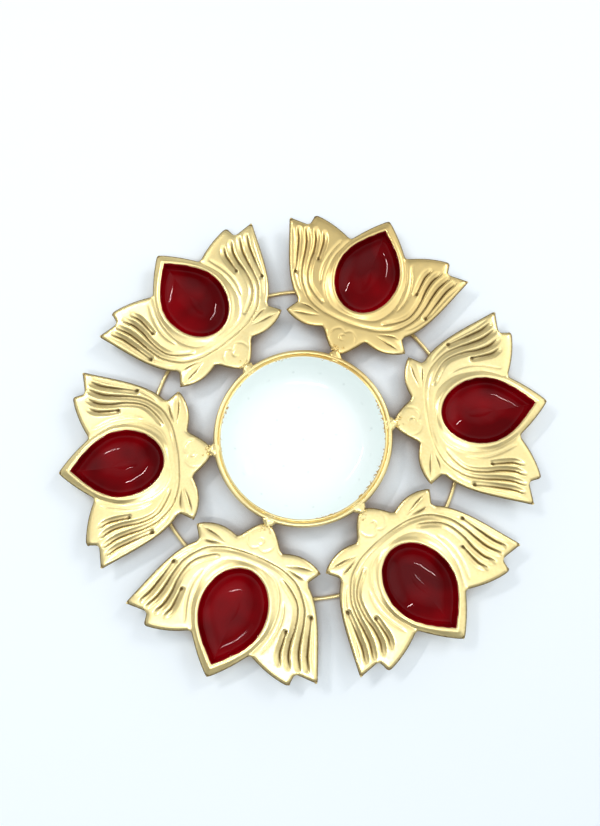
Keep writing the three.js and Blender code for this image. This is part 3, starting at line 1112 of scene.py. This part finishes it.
outside = bowl_curve()
inner = lifted(outside, BOWL_SHEET)
inner[:, 1] = np.minimum(inner[:, 1], outside[-1, 1])
round_rim = rounded_rim(outside[-1], inner[-1])
shell = np.vstack([outside[:-SEAM_STEPS], outside[-1] + SEAM_FILLET, round_rim, inner[:-2][::-1]])
bowl = turned("bowl_shell", shell)
finish(bowl, gold_paint, ["urli_bowl"], sharp=50)

# %% [markdown]
# The white enamel is a thin skin inside it. Shallow dots are pressed into the bowl in two rings round a
# middle one, and the enamel is painted faint grey in them as shade. The press tree that made the lotus
# makes them too, with very short lines.

# %% White lining
LINING_GAP = 0.05
LINING_THICK = 0.6
LINING_EDGE = (0.12, 0.3)  # how far its edge bulges
DOT_RINGS = {0.0: 1, 21.0: 8, 43.0: 16}  # radius and number of dots
DOT_LENGTH = 0.2
DOT_DEPTH = 0.1
DOT_WIDTH = 0.7


def lining_profile():
    """The enamel's closed section, ending in a rounded edge under the rim."""
    metal = bowl_curve()
    back = lifted(metal, BOWL_SHEET + LINING_GAP)
    face = lifted(metal, BOWL_SHEET + LINING_THICK)
    return np.vstack([back, (back[-1] + face[-1]) / 2 + LINING_EDGE, face[::-1]])


white = turned("bowl_lining", lining_profile())
white.data.materials.append(white_enamel)
remember_flat(white.data)
dots = []
for radius, count in DOT_RINGS.items():
    for i in range(count):
        angle = math.tau * i / count
        x, y = radius * math.cos(angle), radius * math.sin(angle)
        dots.append([(x, y, 1.0), (x + DOT_LENGTH, y, 1.0)])
press(white, dots, DOT_DEPTH, DOT_WIDTH, 1.0, material=white_enamel)
white.data.attributes.remove(white.data.attributes["flat"])
finish(white, white_enamel, ["urli_enamel"], sharp=60)

# %% [markdown]
# ## Weld beads
# The neck of each plate is tacked to the ring with a lumpy bead, and smaller ones hold the thin ring to
# the undersides of the wells. A bead is metal that froze while it ran: it spreads like a web towards the
# ring and leaves small drops on the petal's tip. So a tree sets a flared ball on each of six points round
# the bowl, throws small drops outwards from it, and pushes the skin out and in with noise.

# %% Bead tree
LUMP_SCALE = 420.0  # waves of the noise in a metre
# Where drops land, in shares of a bead's size: outwards, sideways and up.
DROPS_FROM = (0.1, -0.42, 0.02)
DROPS_TO = (0.85, 0.42, 0.2)

bead_tree, given = new_tree(
    "weld beads",
    {
        "Count": "Int",
        "Radius": "Float",
        "Height": "Float",
        "Size": "Vector",
        "Flare": "Float",
        "Drops": "Int",
        "Drop Size": "Float",
        "Lumps": "Float",
        "Seed": "Int",
        "Material": "Material",
    },
)
position = add(bead_tree, "GeometryNodeInputPosition")
circle = add(
    bead_tree,
    "GeometryNodeMeshCircle",
    fill_type="NONE",
    Vertices=out(given, "Count"),
    Radius=out(given, "Radius"),
)
lift = add(bead_tree, "ShaderNodeCombineXYZ", Z=out(given, "Height"))
raised = add(bead_tree, "GeometryNodeSetPosition", Geometry=circle, Offset=lift)
level = vectors(bead_tree, "MULTIPLY", position, (1, 1, 0))
outward = add(bead_tree, "FunctionNodeAlignRotationToVector", axis="X", Vector=level)
ball = add(bead_tree, "GeometryNodeMeshIcoSphere", Radius=0.5, Subdivisions=5)
spot = add(bead_tree, "ShaderNodeSeparateXYZ", Vector=position)
inner_side = maths(bead_tree, "MULTIPLY", out(spot, "X"), -2.0)
wider = maths(bead_tree, "MULTIPLY", inner_side, out(given, "Flare"))
sideways = maths(bead_tree, "MULTIPLY", wider, out(spot, "Y"))
pull = add(bead_tree, "ShaderNodeCombineXYZ", Y=sideways)
flared = add(bead_tree, "GeometryNodeSetPosition", Geometry=ball, Offset=pull)
beads = add(
    bead_tree,
    "GeometryNodeInstanceOnPoints",
    Points=raised,
    Instance=flared,
    Rotation=outward,
    Scale=out(given, "Size"),
)
copies = add(
    bead_tree,
    "GeometryNodeDuplicateElements",
    domain="POINT",
    Geometry=raised,
    Amount=out(given, "Drops"),
)
cast = add(
    bead_tree,
    "FunctionNodeRandomValue",
    data_type="FLOAT_VECTOR",
    Min=DROPS_FROM,
    Max=DROPS_TO,
    Seed=out(given, "Seed"),
)
throw = vectors(bead_tree, "MULTIPLY", cast, out(given, "Size"))
flight = add(bead_tree, "FunctionNodeRotateVector", Vector=throw, Rotation=outward)
thrown = add(bead_tree, "GeometryNodeSetPosition", Geometry=copies, Offset=flight)
seed = out(given, "Seed")
share = add(bead_tree, "FunctionNodeRandomValue", data_type="FLOAT", Min_001=0.5, Max_001=1.0, Seed=seed)
drops = add(
    bead_tree,
    "GeometryNodeInstanceOnPoints",
    Points=thrown,
    Instance=add(bead_tree, "GeometryNodeMeshIcoSphere", Radius=0.5, Subdivisions=4),
    Scale=maths(bead_tree, "MULTIPLY", share, out(given, "Drop Size")),
)
together = add(bead_tree, "GeometryNodeJoinGeometry")
for part in (beads, drops):
    bead_tree.links.new(out(part), together.inputs[0])
real = add(bead_tree, "GeometryNodeRealizeInstances", Geometry=together)
lumps = add(
    bead_tree,
    "ShaderNodeTexNoise",
    noise_dimensions="4D",
    Vector=position,
    W=out(given, "Seed"),
    Scale=LUMP_SCALE,
    Detail=3.0,
)
centred = maths(bead_tree, "SUBTRACT", lumps, 0.5)
push = maths(bead_tree, "MULTIPLY", centred, out(given, "Lumps"))
normal = add(bead_tree, "GeometryNodeInputNormal")
swell = add(bead_tree, "ShaderNodeVectorMath", operation="SCALE", Vector=normal, Scale=push)
lumpy = add(bead_tree, "GeometryNodeSetPosition", Geometry=real, Offset=swell)
close_tree(bead_tree, lumpy, out(given, "Material"))

# %% Make the beads
NECK_BEAD = Vector((8.6, 8.6, 3.4)) * MM
NECK_INWARDS = 1.2 * MM  # towards the ring, from the middle of the CAD bead
FOOT_BEAD = Vector((2.5, 7.2, 1.5)) * MM
LUMP_HEIGHT = 0.9 * MM


def weld_beads(name, node, given_values, inwards=0.0):
    """Six beads, each at its CAD bead, or that far inwards of it."""
    low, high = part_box(f"{node}_1")
    middle = (high + low) / 2
    print(node, "is", [round(side / MM, 1) for side in high - low], "mm")
    values = {
        **given_values,
        "Count": LOTUSES,
        "Radius": middle.x - inwards,
        "Height": middle.z,
        "Lumps": LUMP_HEIGHT,
        "Material": bead_paint,
    }
    piece = object_of(name, bpy.data.meshes.new(name))
    run_tree(piece, bead_tree, values)
    finish(piece, bead_paint, [f"{node}_{i + 1}" for i in range(LOTUSES)], sharp=180)


neck = {"Size": NECK_BEAD, "Flare": 0.6, "Drops": 16, "Drop Size": 1.4 * MM, "Seed": 5}
foot = {"Size": FOOT_BEAD, "Flare": 0.0, "Drops": 1, "Drop Size": 1.2 * MM, "Seed": 9}
weld_beads("neck_beads", "tip_weld", neck, inwards=NECK_INWARDS)
weld_beads("under_beads", "foot_weld", foot)

# %% [markdown]
# ## Floor and light
# The studio is a pale table under soft light. The table is a matt board with a brown shadow painted on it
# where little light gets in under the metal. Away from the object it turns into an even white backdrop for
# whatever looks at it, and near the object it keeps its shadow.

# %% Table
FLOOR_SIZE = 12.0
FLOOR_LEVEL = -0.02 * MM
BOARD_PATCH = 0.4
SHADOW_REACH = 0.35
BACKDROP_REACH = 0.9
PAINTED_SHADOW_REACH = 60 * MM
BOARD_WHITE = "#F5FAFD"


def board_material():
    """Matt white board with a brown shadow painted under the metal, turning into a white backdrop further
    out.
    """
    material, tree = new_material("matt white board")
    patches = spread(tree, grain(tree, BOARD_PATCH), 0.3, 0.7)
    open_sky = out(add(tree, "ShaderNodeAmbientOcclusion", samples=16, Distance=PAINTED_SHADOW_REACH), "AO")
    # Painted shadow: the board is painted brown where the metal closes in round it.
    painted_shadow = spread(tree, open_sky, 0.2, 0.62, 1.0, 0.0)
    board = add(
        tree,
        "ShaderNodeBsdfPrincipled",
        Base_Color=coats(tree, BOARD_WHITE, [(patches, "#F1F7FB"), (painted_shadow, "#A08A78")]),
        Roughness=0.9,
        Specular_IOR_Level=0.1,
    )
    place = out(add(tree, "ShaderNodeTexCoord"), "Object")
    radius = vectors(tree, "LENGTH", place)
    far = spread(tree, radius, SHADOW_REACH, BACKDROP_REACH)
    ray = add(tree, "ShaderNodeLightPath")
    seen = out(ray, "Is Camera Ray")
    for kind in ("Is Glossy Ray", "Is Transmission Ray"):
        seen = maths(tree, "MAXIMUM", seen, out(ray, kind))
    glow = add(tree, "ShaderNodeEmission", Color=rgb(BOARD_WHITE), Strength=1.0)
    share_seen = maths(tree, "MULTIPLY", seen, far)
    surface = add(tree, "ShaderNodeMixShader", Fac=share_seen, Shader=board, Shader_001=glow)
    add(tree, "ShaderNodeOutputMaterial", Surface=surface)
    return material


half = FLOOR_SIZE / 2
board = bpy.data.meshes.new("table")
corners = [(x, y, FLOOR_LEVEL) for x, y in ((-half, -half), (half, -half), (half, half), (-half, half))]
board.from_pydata(corners, [], [(0, 1, 2, 3)])
board.materials.append(board_material())
object_of("table", board)
print("the table is", FLOOR_SIZE, "m across")

# %% [markdown]
# Metal shows its surroundings more than itself. Under an even sky the gold would look like flat paint, so
# the sky is a room: bright overhead and round the horizon, dimmer between the two, with a window at the
# right and a black card at the near side for the gold to reflect. A weak lamp at the upper left models
# the relief, and three narrow strips leave the small sharp highlights that enamel shows.

# %% Lamps and sky
WALLS = 0.4
HORIZON = 0.84
OVERHEAD = 1.37
OVERHEAD_PLACE = (0.02, -0.17, 0.985)
CARD = 0.1
CARD_PLACE = (-0.25, -0.62, 0.744)
WINDOW = 1.5
WINDOW_PLACE = (0.8, -0.05, 0.6)


def lamp(name, place, size, power):
    """Hangs a rectangular lamp aimed at the object."""
    data = bpy.data.lights.new(name, "AREA")
    data.shape = "RECTANGLE"
    data.size, data.size_y = size
    data.energy = power
    light = bpy.data.objects.new(name, data)
    light.location = place
    light.rotation_euler = (-Vector(place)).to_track_quat("-Z", "Y").to_euler()
    bpy.context.scene.collection.objects.link(light)


def towards(tree, way, place, low, high):
    """How nearly a direction of the sky points at a place."""
    lean = vectors(tree, "DOT_PRODUCT", way, place)
    return spread(tree, lean, low, high)


def sky():
    """A room of pale walls, bright overhead, with a window and a black card."""
    world = bpy.data.worlds.new("studio")
    bpy.context.scene.world = world
    world.use_nodes = True
    tree = world.node_tree
    tree.nodes.clear()
    way = out(add(tree, "ShaderNodeTexCoord"), "Generated")
    height = out(add(tree, "ShaderNodeSeparateXYZ", Vector=way), "Z")
    card = towards(tree, way, CARD_PLACE, 0.78, 0.93)
    window = towards(tree, way, WINDOW_PLACE, 0.88, 0.97)
    above = towards(tree, way, OVERHEAD_PLACE, 0.8, 0.96)
    low_down = spread(tree, height, 0.3, 0.5, 1.0, 0.0)
    tone = WALLS
    for share, level in ((card, CARD), (window, WINDOW), (above, OVERHEAD), (low_down, HORIZON)):
        tone = add(tree, "ShaderNodeMix", Factor_Float=share, A_Float=tone, B_Float=level)
    tint = coats(tree, "#F5FAFD", [(above, "#F2F9FF")])
    glow = add(tree, "ShaderNodeBackground", Color=tint, Strength=tone)
    add(tree, "ShaderNodeOutputWorld", Surface=glow)


lamp("key", (-1.3, 1.1, 1.5), (0.9, 0.9), 0.6)
lamp("left strip", (-0.45, 0.45, 0.8), (0.34, 0.016), 2.0)
lamp("right strip", (0.62, 0.38, 0.7), (0.015, 0.3), 1.6)
lamp("near strip", (-0.12, -0.38, 1.05), (0.38, 0.014), 1.9)
sky()
bpy.context.scene.view_settings.view_transform = "Standard"
print(len(bpy.data.lights), "lamps")
